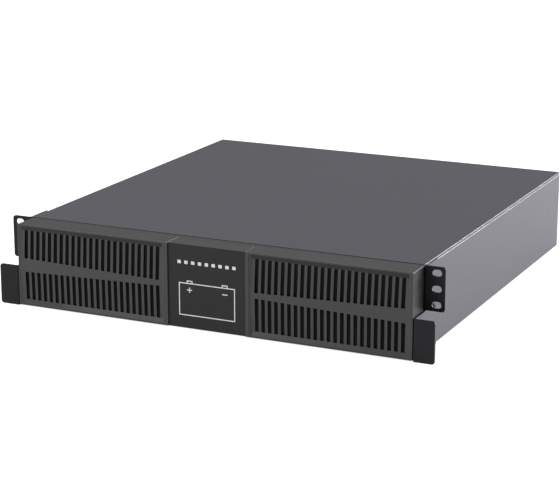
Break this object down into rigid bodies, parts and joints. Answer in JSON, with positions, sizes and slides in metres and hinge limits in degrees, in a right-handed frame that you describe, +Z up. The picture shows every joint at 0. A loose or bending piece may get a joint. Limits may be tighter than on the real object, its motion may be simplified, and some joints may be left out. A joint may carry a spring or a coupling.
{
  "type": "uninterruptible power supply battery module",
  "caption": "Low rack-mount steel battery module with slotted rack ears, pull tabs, a louvred plastic bezel with a square centre panel, and slide-out battery trays.",
  "frame": {"origin": "bottom centre of the whole object's box", "axes": "+X to the right seen from the front, +Y from the bezel to the rear panel, +Z up"},
  "size_m": [0.4836, 0.482, 0.0884],
  "materials": {
    "chassis_paint": "fine powder coat, dark violet grey",
    "bracket_paint": "satin black powder coat",
    "bezel_plastic": "fine spark-eroded texture, dark grey",
    "panel_plastic": "smooth satin, near black",
    "zinc_steel": "zinc-plated sheet",
    "black_screw": "black oxide",
    "battery_case": "moulded, charcoal",
    "black_plastic": "moulded, black",
    "red_plastic": "satin red",
    "copper": "bare copper strap",
    "ceramic": "glazed off-white",
    "cable_red": "flexible insulation",
    "cable_black": "flexible insulation",
    "handle_black": "dipped grip"
  },
  "bodies": {
    "chassis": {"base_pan": "chassis_paint", "top_cover": "chassis_paint", "rear_panel": "chassis_paint", "front_frame": "chassis_paint", "centre_divider": "zinc_steel", "rear_bulkhead": "zinc_steel", "rack_bracket_left": "bracket_paint", "rack_bracket_right": "bracket_paint", "bracket_screw_left_1": "black_screw", "bracket_screw_left_2": "black_screw", "bracket_screw_right_1": "black_screw", "bracket_screw_right_2": "black_screw", "dock_socket_left": "black_plastic", "dock_socket_right": "black_plastic", "harness_left": "cable_black", "harness_right": "cable_black", "battery_connector_1": "black_plastic", "battery_connector_2": "black_plastic", "output_lead_1": "cable_red", "output_lead_2": "cable_red", "breaker_body": "black_plastic", "link_port": "black_plastic", "ground_stud": "zinc_steel", "ground_nut": "zinc_steel", "fuse_block": "black_plastic", "fuse_left": "ceramic", "fuse_right": "ceramic", "positive_busbar": "copper"},
    "bezel": {"bezel_frame_left": "bezel_plastic", "bezel_frame_right": "bezel_plastic", "bezel_bridge": "bezel_plastic", "grille_left": "bezel_plastic", "grille_right": "bezel_plastic"},
    "centre_panel": {"centre_panel": "panel_plastic"},
    "tray_left": {"tray_left": "bracket_paint", "battery_left_inner_1": "battery_case", "battery_left_outer_1": "battery_case", "battery_left_inner_2": "battery_case", "battery_left_outer_2": "battery_case", "battery_strap_left": "zinc_steel", "tray_handle_left": "handle_black", "series_lead_left": "cable_black", "tray_plug_left": "black_plastic"},
    "thumbscrew_left_inner": {"thumbscrew_left_inner": "zinc_steel"},
    "thumbscrew_left_outer": {"thumbscrew_left_outer": "zinc_steel"},
    "tray_right": {"tray_right": "bracket_paint", "battery_right_inner_1": "battery_case", "battery_right_outer_1": "battery_case", "battery_right_inner_2": "battery_case", "battery_right_outer_2": "battery_case", "battery_strap_right": "zinc_steel", "tray_handle_right": "handle_black", "series_lead_right": "cable_black", "tray_plug_right": "black_plastic"},
    "thumbscrew_right_inner": {"thumbscrew_right_inner": "zinc_steel"},
    "thumbscrew_right_outer": {"thumbscrew_right_outer": "zinc_steel"},
    "breaker_lever": {"breaker_lever": "red_plastic"}
  },
  "joints": [
    {"name": "bezel_slide", "type": "slide", "parent": "chassis", "child": "bezel", "axis": [0, -1, 0], "range_m": [0, 0.36]},
    {"name": "centre_panel_slide", "type": "slide", "parent": "bezel", "child": "centre_panel", "axis": [0, -1, 0], "range_m": [0, 0.06]},
    {"name": "tray_left_slide", "type": "slide", "parent": "chassis", "child": "tray_left", "axis": [0, -1, 0], "range_m": [0, 0.306]},
    {"name": "tray_right_slide", "type": "slide", "parent": "chassis", "child": "tray_right", "axis": [0, -1, 0], "range_m": [0, 0.306]},
    {"name": "thumbscrew_left_inner_turn", "type": "hinge", "parent": "tray_left", "child": "thumbscrew_left_inner", "pos_m": [-0.054, -0.2098, 0.0795], "axis": [0, -1, 0], "range_deg": [0, 720]},
    {"name": "thumbscrew_left_outer_turn", "type": "hinge", "parent": "tray_left", "child": "thumbscrew_left_outer", "pos_m": [-0.205, -0.2098, 0.0795], "axis": [0, -1, 0], "range_deg": [0, 720]},
    {"name": "thumbscrew_right_inner_turn", "type": "hinge", "parent": "tray_right", "child": "thumbscrew_right_inner", "pos_m": [0.054, -0.2098, 0.0795], "axis": [0, -1, 0], "range_deg": [0, 720]},
    {"name": "thumbscrew_right_outer_turn", "type": "hinge", "parent": "tray_right", "child": "thumbscrew_right_outer", "pos_m": [0.205, -0.2098, 0.0795], "axis": [0, -1, 0], "range_deg": [0, 720]},
    {"name": "breaker_toggle", "type": "hinge", "parent": "chassis", "child": "breaker_lever", "pos_m": [0.02, 0.221, 0.05], "axis": [1, 0, 0], "range_deg": [-40, 0]}
  ],
  "couplings": [
    {"joint": "tray_left_slide", "follows": "bezel_slide", "ratio": 0.85},
    {"joint": "tray_right_slide", "follows": "bezel_slide", "ratio": 0.85}
  ]
}
